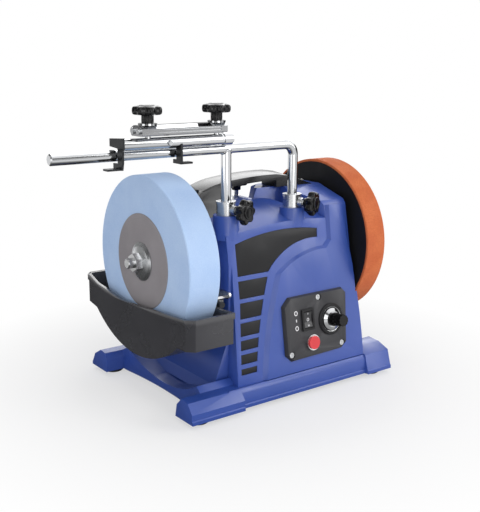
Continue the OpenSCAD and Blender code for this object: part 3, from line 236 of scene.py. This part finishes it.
# stage
stageLook = {"floorSize": 6.0, "floorGrey": "#F4F4F5", "worldLight": 0.4, "fadeFrom": 0.2, "fadeTo": 0.42,
             "shadowShare": 0.45, "floorNear": 0.08, "floorFar": 1.15, "floorBright": (0.6, -0.8, 0),
             "brightFrom": 0.05, "brightTo": 0.4, "distantFrom": 0.5, "distantTo": 1.1,
             "brightSide": (0.5, 0.1, 0.86), "glareSide": (0.55, 0.75, 0.36), "glareFrom": 0.8,
             "glareTo": 0.96, "glareLevel": 3.0, "flagAim": (0, 0, 0.25), "lampAim": (0, 0, 0.15)}
# how bright a mirror ray finds the studio, from facing away from the bright side to facing it
stageLook["mirrored"] = ((0.0, 0.08), (0.5, 0.2), (0.62, 0.9), (0.67, 0.12), (0.74, 0.15), (0.8, 1.1),
                         (1.0, 1.7))
# place, width and height of each flag; place, size and power of each lamp
stageLook["flags"] = {"flagRight": ((0.9, -0.02, 0.25), 0.8, 0.5), "flagLeft": ((-2.0, 0.1, 0.4), 2.2, 0.3)}
stageLook["lamps"] = {"key": ((-1.15, -1.5, 1.05), 1.5, 10), "fill": ((1.3, -1.4, 0.9), 1.2, 16),
                      "top": ((0.1, 0.5, 1.9), 1.6, 9), "front": ((-0.3, -1.9, 0.2), 0.9, 8),
                      "left": ((-1.9, -0.35, 0.3), 1.0, 5)}


# White backdrop for camera and glass rays; for mirror rays a studio that is bright overhead, brightest
# behind the object and dim low down; an even grey light for the rest; a pale floor that keeps the
# object's shadow; two dark flags; five soft lamps.
def makeStage(look):
    world = bpy.data.worlds.new("studio")
    world.use_nodes = True
    tree = world.node_tree
    tree.nodes.clear()
    path = addNode(tree, "ShaderNodeLightPath")
    seen = addNode(tree, "ShaderNodeMath", {"operation": "MAXIMUM"},
                   {0: path.outputs["Is Camera Ray"], 1: path.outputs["Is Transmission Ray"]})
    plain = addNode(tree, "ShaderNodeBackground", {"Color": (1, 1, 1, 1), "Strength": look["worldLight"]})
    white = addNode(tree, "ShaderNodeBackground", {"Color": (1, 1, 1, 1), "Strength": 1.0})
    toward = addNode(tree, "ShaderNodeTexCoord").outputs["Generated"]
    facing = addNode(tree, "ShaderNodeVectorMath", {"operation": "DOT_PRODUCT", 1: look["brightSide"]},
                     {0: toward}).outputs["Value"]
    facing = addNode(tree, "ShaderNodeMapRange", {"From Min": -1.0, "From Max": 1.0}, {"Value": facing})
    stops = [(at, (v, v, v, 1)) for at, v in look["mirrored"]]
    level = addNode(tree, "ShaderNodeValToRGB", {"stops": stops}, {"Fac": facing.outputs[0]}).outputs["Color"]
    behind = addNode(tree, "ShaderNodeVectorMath", {"operation": "DOT_PRODUCT", 1: look["glareSide"]},
                     {0: toward}).outputs["Value"]
    glare = addNode(tree, "ShaderNodeMapRange", {"From Min": look["glareFrom"], "From Max": look["glareTo"],
                                                 "To Min": 1.0, "To Max": look["glareLevel"]},
                    {"Value": behind})
    mirrored = addNode(tree, "ShaderNodeBackground", {}, {"Color": level, "Strength": glare.outputs[0]})
    both = addNode(tree, "ShaderNodeMixShader", {}, {0: path.outputs["Is Glossy Ray"], 1: plain.outputs[0],
                                                     2: mirrored.outputs[0]})
    both = addNode(tree, "ShaderNodeMixShader", {}, {0: seen.outputs[0], 1: both.outputs[0],
                                                     2: white.outputs[0]})
    addNode(tree, "ShaderNodeOutputWorld", {}, {"Surface": both.outputs[0]})
    scene.world = world

    half = look["floorSize"] / 2
    mesh = bpy.data.meshes.new("floor")
    mesh.from_pydata([(-half, -half, 0), (half, -half, 0), (half, half, 0), (-half, half, 0)], [],
                     [(0, 1, 2, 3)])
    floor = bpy.data.objects.new("floor", mesh)
    scene.collection.objects.link(floor)
    material, tree = newMaterial("paleFloor")
    path = addNode(tree, "ShaderNodeLightPath")
    place = addNode(tree, "ShaderNodeTexCoord").outputs["Object"]
    away = addNode(tree, "ShaderNodeVectorMath", {"operation": "LENGTH"}, {0: place}).outputs["Value"]
    bare = addNode(tree, "ShaderNodeMapRange", {"From Min": look["fadeFrom"], "From Max": look["fadeTo"],
                                                "To Min": 1 - look["shadowShare"], "To Max": 1.0},
                   {"Value": away}).outputs[0]
    seen = addNode(tree, "ShaderNodeMath", {"operation": "MULTIPLY"},
                   {0: path.outputs["Is Camera Ray"], 1: bare})
    paint = addNode(tree, "ShaderNodeBsdfDiffuse", {"Color": toLinear(look["floorGrey"])})
    glow = addNode(tree, "ShaderNodeEmission", {"Color": (1, 1, 1, 1), "Strength": 1.0})
    # in mirror rays the floor is dim near the object, bright far off and to the front right
    forward = addNode(tree, "ShaderNodeVectorMath", {"operation": "DOT_PRODUCT", 1: look["floorBright"]},
                      {0: place}).outputs["Value"]
    forward = addNode(tree, "ShaderNodeMapRange", {"From Min": look["brightFrom"],
                                                   "From Max": look["brightTo"]}, {"Value": forward})
    distant = addNode(tree, "ShaderNodeMapRange", {"From Min": look["distantFrom"],
                                                   "From Max": look["distantTo"]}, {"Value": away})
    level = addNode(tree, "ShaderNodeMath", {"operation": "MAXIMUM"},
                    {0: forward.outputs[0], 1: distant.outputs[0]})
    level = addNode(tree, "ShaderNodeMapRange", {"To Min": look["floorNear"], "To Max": look["floorFar"]},
                    {"Value": level.outputs[0]})
    dim = addNode(tree, "ShaderNodeEmission", {"Color": (1, 1, 1, 1)}, {"Strength": level.outputs[0]})
    both = addNode(tree, "ShaderNodeMixShader", {}, {0: seen.outputs[0], 1: paint.outputs[0],
                                                     2: glow.outputs[0]})
    both = addNode(tree, "ShaderNodeMixShader", {}, {0: path.outputs["Is Glossy Ray"], 1: both.outputs[0],
                                                     2: dim.outputs[0]})
    addNode(tree, "ShaderNodeOutputMaterial", {}, {"Surface": both.outputs[0]})
    mesh.materials.append(material)

    # dark flags at both sides, seen only in the chrome, where they draw the long black streaks
    for name, (place, wide, high) in look["flags"].items():
        mesh = bpy.data.meshes.new(name)
        mesh.from_pydata([(-wide / 2, -high / 2, 0), (wide / 2, -high / 2, 0), (wide / 2, high / 2, 0),
                          (-wide / 2, high / 2, 0)], [], [(0, 1, 2, 3)])
        mesh.materials.append(materials["blackPaintedCore"])
        flag = bpy.data.objects.new(name, mesh)
        aim = (Vector(look["flagAim"]) - Vector(place)).to_track_quat("Z", "Y")
        flag.matrix_world = Matrix.Translation(place) @ aim.to_matrix().to_4x4()
        scene.collection.objects.link(flag)
        flag.visible_camera = flag.visible_diffuse = flag.visible_shadow = False

    for name, (place, size, power) in look["lamps"].items():
        data = bpy.data.lights.new(name, "AREA")
        data.size, data.energy = size, power
        lamp = bpy.data.objects.new(name, data)
        aim = (Vector(look["lampAim"]) - Vector(place)).to_track_quat("-Z", "Y")
        lamp.matrix_world = Matrix.Translation(place) @ aim.to_matrix().to_4x4()
        scene.collection.objects.link(lamp)


makeStage(stageLook)
print("stage made")


# helpers for meshes
# Links a finished mesh as a piece, shades it smooth but for edges sharper than the angle.
def placePiece(name, mesh, finish, body, replaced=(), angle=30):
    mesh.polygons.foreach_set("use_smooth", np.ones(len(mesh.polygons), bool))
    if angle:
        mesh.set_sharp_from_angle(angle=math.radians(angle))
    mesh.materials.clear()
    mesh.materials.append(materials[finish])
    piece = bpy.data.objects.new(name, mesh)
    scene.collection.objects.link(piece)
    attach(piece, body)
    if replaced:
        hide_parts(*replaced)
    return piece


# A CAD node's mesh with its loose triangles joined, its degenerate edges and faces dissolved, and its stored normals
# and sharp marks dropped.
def mergedCopy(node):
    shape = bmesh.new()
    shape.from_mesh(nodes[node].data)
    bmesh.ops.remove_doubles(shape, verts=shape.verts, dist=2e-6)
    bmesh.ops.dissolve_degenerate(shape, edges=shape.edges, dist=1e-6)
    mesh = bpy.data.meshes.new(node + "Soft")
    shape.to_mesh(mesh)
    shape.free()
    for name in [a.name for a in mesh.attributes if a.name in ("custom_normal", "sharp_edge", "sharp_face")]:
        mesh.attributes.remove(mesh.attributes[name])
    return mesh


# A node's shape with every edge sharper than the angle rounded over, as moulding or a coat of paint
# leaves it.
def softened(node, finish, widthMm=0.8, segments=2, angle=32, planar=0.4):
    mesh = mergedCopy(node)
    if planar:
        shape = bmesh.new()
        shape.from_mesh(mesh)
        bmesh.ops.dissolve_limit(shape, angle_limit=math.radians(planar), verts=shape.verts,
                                 edges=shape.edges)
        shape.to_mesh(mesh)
        shape.free()
    piece = bpy.data.objects.new("work", mesh)
    scene.collection.objects.link(piece)
    bevel = piece.modifiers.new("edges", "BEVEL")
    bevel.limit_method, bevel.angle_limit = "ANGLE", math.radians(angle)
    bevel.width, bevel.segments = widthMm / 1000, segments
    bevel.use_clamp_overlap = True
    bevel.miter_outer = "MITER_ARC"
    bpy.context.view_layer.update()
    done = bpy.data.meshes.new_from_object(piece.evaluated_get(bpy.context.evaluated_depsgraph_get()))
    bpy.data.objects.remove(piece)
    done.name = node + "Soft"
    return placePiece(node + "Soft", done, finish, nodes[node]["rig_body"], (node,), 40)


def dress(finish, *names):
    for name in names:
        for slot in nodes[name].material_slots:
            slot.material = materials[finish]


# CAD solids that keep their shape
dress("charcoalAbs", "bottom_cover")
dress("blackRubber", "rubber_feet", "drive_belt", "cord_gland")
dress("turnedNickel", "wheel_nut", "honing_nut", "spindle", "front_sleeves", "rear_sleeves", "trough_guides")
dress("zincSteel", "plate_screws", "handle_screws", "housing_screws", "inner_flange", "outer_flange",
      "motor_shaft", "jig_grub_screw", "clamp_screws")
dress("chromePlate", "support_bar", "jig_rod", "jig_studs", "jig_clamp_bar", "jig_washers", "knob_skirt")
dress("blueGrindstone", "grinding_wheel")
dress("blotterPaper", "wheel_disc")
dress("blackPaintedCore", "honing_core")
dress("tannedLeather", "leather_tyre")
dress("sinteredBronze", "spindle_bushes")
dress("castAluminium", "motor", "motor_bracket", "motor_pulley", "drive_pulley")
dress("circuitBoard", "speed_control")
dress("texturedBlackAbs", "dial_bezel", "rocker_frame")
dress("silverRing", "reset_breaker")
dress("charcoalAbs", "rocker_switch")
dress("redAbs", "reset_button")
dress("blackPhenolic", "speed_knob", "front_knob_left", "front_knob_right", "rear_knob_left",
      "rear_knob_right", "jig_knob_left", "jig_knob_right")
dress("blackenedSteel", "jig_hooks", "trough_screw")
dress("silverRing", "trough_strap")
dress("greyAbs", "control_plate")
dress("texturedBlackAbs", "front_trim")
dress("wornBlackAbs", "carry_handle")
dress("troughAbs", "water_trough")
dress("bluePowderCoat", "housing", "base_frame")
print("solids dressed")

# softened bodies
softened("housing", "bluePowderCoat", 1.2, 3, planar=0)
softened("base_frame", "bluePowderCoat", 1.8, 3)
softened("carry_handle", "wornBlackAbs", 1.2, 3)
softened("control_plate", "greyAbs", 0.6, 2)
softened("front_trim", "texturedBlackAbs", 0.5, 2)
softened("water_trough", "troughAbs", 0.9, 2)
print("bodies softened")


# surfaces worked out on grids
# A mesh from rows of points, each row a closed ring; unless the rows close on each other too, the first
# and the last ring are drawn in to a pole.
def gridMesh(name, points, closedRows=False):
    rows, columns = points.shape[:2]
    index = np.arange(rows * columns).reshape(rows, columns)
    following = np.roll(index, -1, axis=1)
    last = rows if closedRows else rows - 1
    above = np.roll(index, -1, axis=0)[:last]
    faces = np.stack([index[:last], following[:last], np.roll(following, -1, axis=0)[:last], above], axis=-1)
    faces = [tuple(f) for f in faces.reshape(-1, 4).tolist()]
    vertices = points.reshape(-1, 3)
    if not closedRows:
        poles = np.stack([points[0].mean(axis=0), points[-1].mean(axis=0)])
        vertices = np.concatenate([vertices, poles])
        low, high = rows * columns, rows * columns + 1
        faces += [(b, a, low) for a, b in zip(index[0].tolist(), following[0].tolist())]
        faces += [(a, b, high) for a, b in zip(index[-1].tolist(), following[-1].tolist())]
    mesh = bpy.data.meshes.new(name)
    mesh.from_pydata(vertices.tolist(), [], faces)
    shape = bmesh.new()
    shape.from_mesh(mesh)
    bmesh.ops.recalc_face_normals(shape, faces=shape.faces)
    shape.to_mesh(mesh)
    shape.free()
    return mesh


# A knob as a function of the angle round its axis and the row up its profile. Each row has a plain
# radius, a share of the lobes, a height and a share of the ribs; the lobes are a raised cosine drawn to
# a power, which leaves them full and the hollows between them round.
def starSurface(name, rows, look, place, columns=168):
    angle = np.linspace(0, 2 * np.pi, columns, endpoint=False)
    lobe = 2 * (0.5 + 0.5 * np.cos(look["lobes"] * angle)) ** look["fullness"] - 1
    rib = np.abs(np.cos(look["ribs"] * angle / 2)) - 0.6
    plain, share, height, ribbed = (np.array(column)[:, None] for column in zip(*rows))
    radius = plain + share * look["lobeMm"] * lobe[None, :] + ribbed * look["ribMm"] * rib[None, :]
    points = np.stack([radius * np.cos(angle), radius * np.sin(angle), height + 0 * radius], axis=-1) / 1000
    turn = np.array(place.to_3x3())
    return gridMesh(name, points @ turn.T + np.array(place.to_translation()))


# A flattened bead carried along a path: at each point of the path a small ellipse, as wide as the mark
# along the surface and as high as it stands off it.
def ribbon(name, path, normal, halfWidth, halfHeight, closed=True, columns=10):
    path, normal = np.asarray(path, float), np.asarray(normal, float)
    ahead = np.roll(path, -1, axis=0) - np.roll(path, 1, axis=0)
    if not closed:
        ahead[0], ahead[-1] = path[1] - path[0], path[-1] - path[-2]
    ahead /= np.linalg.norm(ahead, axis=1)[:, None]
    if normal.ndim == 1:
        normal = np.repeat(normal[None, :], len(path), axis=0)
    side = np.cross(ahead, normal)
    side /= np.linalg.norm(side, axis=1)[:, None]
    turn = np.linspace(0, 2 * np.pi, columns, endpoint=False)
    points = (path[:, None, :] + side[:, None, :] * (halfWidth * np.cos(turn))[None, :, None]
              + normal[:, None, :] * (halfHeight * np.sin(turn))[None, :, None])
    return gridMesh(name, points, closed)


# star knobs
knobLook = {"lobes": 7, "fullness": 0.8, "lobeMm": 1.5, "ribs": 14, "ribMm": 0.35}
headMm = 23  # from the sleeve's axis to the middle of a lock knob's head
lockRows = [(0.01, 0, -6, 0), (5.3, 0, -6, 0), (5.9, 0, -5.4, 0), (6, 0, -3, 0), (6, 0, -0.4, 0),
            (6.5, 0, 0, 0), (10.2, 0.5, 0, 0), (12, 0.85, 0.4, 0), (12.9, 1, 1.3, 0), (13.4, 1, 3, 0),
            (13.5, 1, 5, 0),
            (13.3, 1, 6.8, 0), (12.6, 0.95, 8.2, 0), (11.4, 0.7, 8.9, 0), (9.8, 0.3, 9, 0), (8.6, 0, 8.8, 0),
            (8.1, 0, 9, 0), (8, 0, 10, 0), (7.5, 0, 10.5, 0), (5.7, 0, 10.5, 0), (5.3, 0, 10.3, 0),
            (5, 0, 9.5, 0), (3, 0, 9.45, 0), (0.01, 0, 9.4, 0)]
studRows = [(0.01, 0, 6.35, 0), (2.4, 0, 6.35, 0), (2.95, 0, 6.9, 0), (3, 0, 8, 0), (3, 0, 18, 0),
            (0.01, 0, 18, 0)]
# x, y and height of each knob's sleeve, its tilt and turn in degrees, and how much longer its stud is
lockPlaces = {"front_knob_left": (-72, -65, 231, 90, 17, 0), "front_knob_right": (26, -65, 231, 90, 25, 0),
              "rear_knob_left": (-72, 49, 209, 0, 0, 5), "rear_knob_right": (26, 49, 209, 0, 0, 5)}
for node, (x, y, z, tilt, turn, more) in lockPlaces.items():
    place = (Matrix.Translation(Vector((x, y, z)) / 1000) @ Matrix.Rotation(math.radians(turn), 4, "Z")
             @ Matrix.Rotation(math.radians(tilt), 4, "X"))
    body = nodes[node]["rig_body"]
    head = place @ Matrix.Translation((0, 0, (headMm + more) / 1000))
    placePiece(node + "Head", starSurface(node + "Head", lockRows, knobLook, head), "blackPhenolic", body,
               (node,), 50)
    longer = [(r, s, h + (more if h > 10 else 0), b) for r, s, h, b in studRows]
    placePiece(node + "Stud", starSurface(node + "Stud", longer, knobLook, place, 48), "zincSteel", body,
               (), 40)

jigKnobLook = {"lobes": 7, "fullness": 0.8, "lobeMm": 1.6, "ribs": 14, "ribMm": 0.5}
jigRows = [(0.01, 0, 10.9, 0), (3.15, 0, 10.9, 0), (3.15, 0, 0.4, 0), (3.4, 0, 0.12, 0), (5.9, 0, 0.12, 0),
           (6.3, 0, 0.5, 0.6), (6.3, 0, 4, 1), (6.3, 0, 7.6, 1), (6.8, 0, 8.4, 0.4), (10.6, 0.4, 8.6, 0),
           (12.9, 0.85, 8.9, 0), (13.9, 1, 9.9, 0), (14.4, 1, 11.5, 0), (14.4, 1, 13.5, 0), (14.2, 1, 15.4, 0),
           (13.5, 0.95, 16.8, 0), (12.3, 0.7, 17.4, 0), (10.6, 0.3, 17.5, 0), (9.5, 0, 17.5, 0),
           (8.9, 0, 17.8, 0), (8.4, 0, 18.4, 0), (7.6, 0, 18.5, 0), (5, 0, 18.5, 0), (4.5, 0, 18.2, 0),
           (0.01, 0, 18.1, 0)]
jigPlaces = {"jig_knob_left": (-179.5, -76, 333.4), "jig_knob_right": (-93, -76, 333.4)}
for node, spot in jigPlaces.items():
    place = Matrix.Translation(Vector(spot) / 1000)
    placePiece(node + "Head", starSurface(node + "Head", jigRows, jigKnobLook, place), "blackPhenolic",
               nodes[node]["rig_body"], (node,), 50)
print("knobs made")


# marks and rings on the control plate
faceLook = {"panelY": -106, "base": 30, "lean": 9.0, "plate": 9.0}


# A point of the control plate's face, in metres, from its x and height in millimetres.
def onPlate(x, z, out=0.0):
    lean = math.radians(faceLook["lean"])
    along, off = (z - faceLook["base"]) / math.cos(lean), faceLook["plate"] + out
    return np.array([x, faceLook["panelY"] + along * math.sin(lean) - off * math.cos(lean),
                     faceLook["base"] + along * math.cos(lean) + off * math.sin(lean)]) / 1000


plateLean = math.radians(faceLook["lean"])
plateNormal = np.array([0, -math.cos(plateLean), math.sin(plateLean)])


def ringOnPlate(x, z, wide, high, out, count=48):
    turn = np.linspace(0, 2 * np.pi, count, endpoint=False)
    return np.array([onPlate(x + wide * math.cos(a), z + high * math.sin(a), out) for a in turn])


# half the height of a printed mark, in metres
inkHigh = 0.00012


# A straight mark on the plate between two places given as x, height and distance out.
def lineOnPlate(name, start, end, halfMm, body):
    path = np.linspace(onPlate(*start), onPlate(*end), 6)
    bead = ribbon(name, path, plateNormal, halfMm / 1000, inkHigh, False)
    placePiece(name, bead, "whiteInk", body, (), 0)


# A ring on the plate: a dict of its middle, half width, half height, distance out and half its line.
def ringMark(name, look, body):
    ring = ringOnPlate(look["x"], look["z"], look["wide"], look["high"], look["out"])
    bead = ribbon(name, ring, plateNormal, look["halfMm"] / 1000, inkHigh)
    placePiece(name, bead, "whiteInk", body, (), 0)


# the rocker's marks lie on its two slanted halves and turn with it
rockerLines = {"rockerOne": ((21, 97.4, 1.25), (21, 100.2, 1.55)),
               "rockerTwo": ((20.2, 83.2, 1.5), (20.2, 85.6, 1.25)),
               "rockerThree": ((21.8, 83.2, 1.5), (21.8, 85.6, 1.25))}
for name, (start, end) in rockerLines.items():
    lineOnPlate(name, start, end, 0.4, "rocker")
rockerRing = {"x": 21, "z": 91.5, "wide": 1.5, "high": 1.7, "out": 0.75, "halfMm": 0.4}
ringMark("rockerRing", rockerRing, "rocker")
markRing = {"x": 3.6, "wide": 2.1, "high": 2.4, "out": 0.05, "halfMm": 0.6}
for name, z in {"markUpper": 101.5, "markLower": 83.5}.items():
    ringMark(name, {**markRing, "z": z}, "machine")
lineOnPlate("markMiddle", (3.6, 91, 0.05), (3.6, 94.4, 0.05), 0.7, "machine")
dialRing = {"x": 57.8, "z": 86, "wide": 15.6, "high": 15.4, "out": 1.5, "halfMm": 0.85, "highMm": 0.5}
bead = ribbon("dialRing", ringOnPlate(dialRing["x"], dialRing["z"], dialRing["wide"], dialRing["high"],
                                      dialRing["out"], 96), plateNormal, dialRing["halfMm"] / 1000,
              dialRing["highMm"] / 1000, True, 14)
placePiece("dialRing", bead, "silverRing", "machine", (), 0)
print("control plate marked")


# weld where the left leg meets the bar
weldLook = {"legX": -72, "barY": -65, "barZ": 301, "radius": 6.0, "beadMm": 1.3, "beadHighMm": 1.04,
            "lowestDrop": 1.5, "centreDrop": 2}


# The saddle line on which two tubes of one radius meet: a circle seen from above, whose height drops
# from the middle of the bar to its underside as the tube curves away.
def weldPath(look, count=72):
    turn = np.linspace(0, 2 * np.pi, count, endpoint=False)
    across = look["radius"] * np.sin(turn)
    drop = np.sqrt(np.maximum(look["radius"] ** 2 - across ** 2, 0))
    return np.stack([look["legX"] + look["radius"] * np.cos(turn), look["barY"] + across,
                     look["barZ"] - np.maximum(drop, look["lowestDrop"])], axis=-1) / 1000


saddle = weldPath(weldLook)
weldCentre = np.array([weldLook["legX"], weldLook["barY"], weldLook["barZ"] - weldLook["centreDrop"]])
outward = saddle - weldCentre / 1000
outward /= np.linalg.norm(outward, axis=1)[:, None]
bead = ribbon("weldBead", saddle, outward, weldLook["beadMm"] / 1000, weldLook["beadHighMm"] / 1000)
placePiece("weldBead", bead, "chromePlate", "bar", (), 0)
print("weld made")
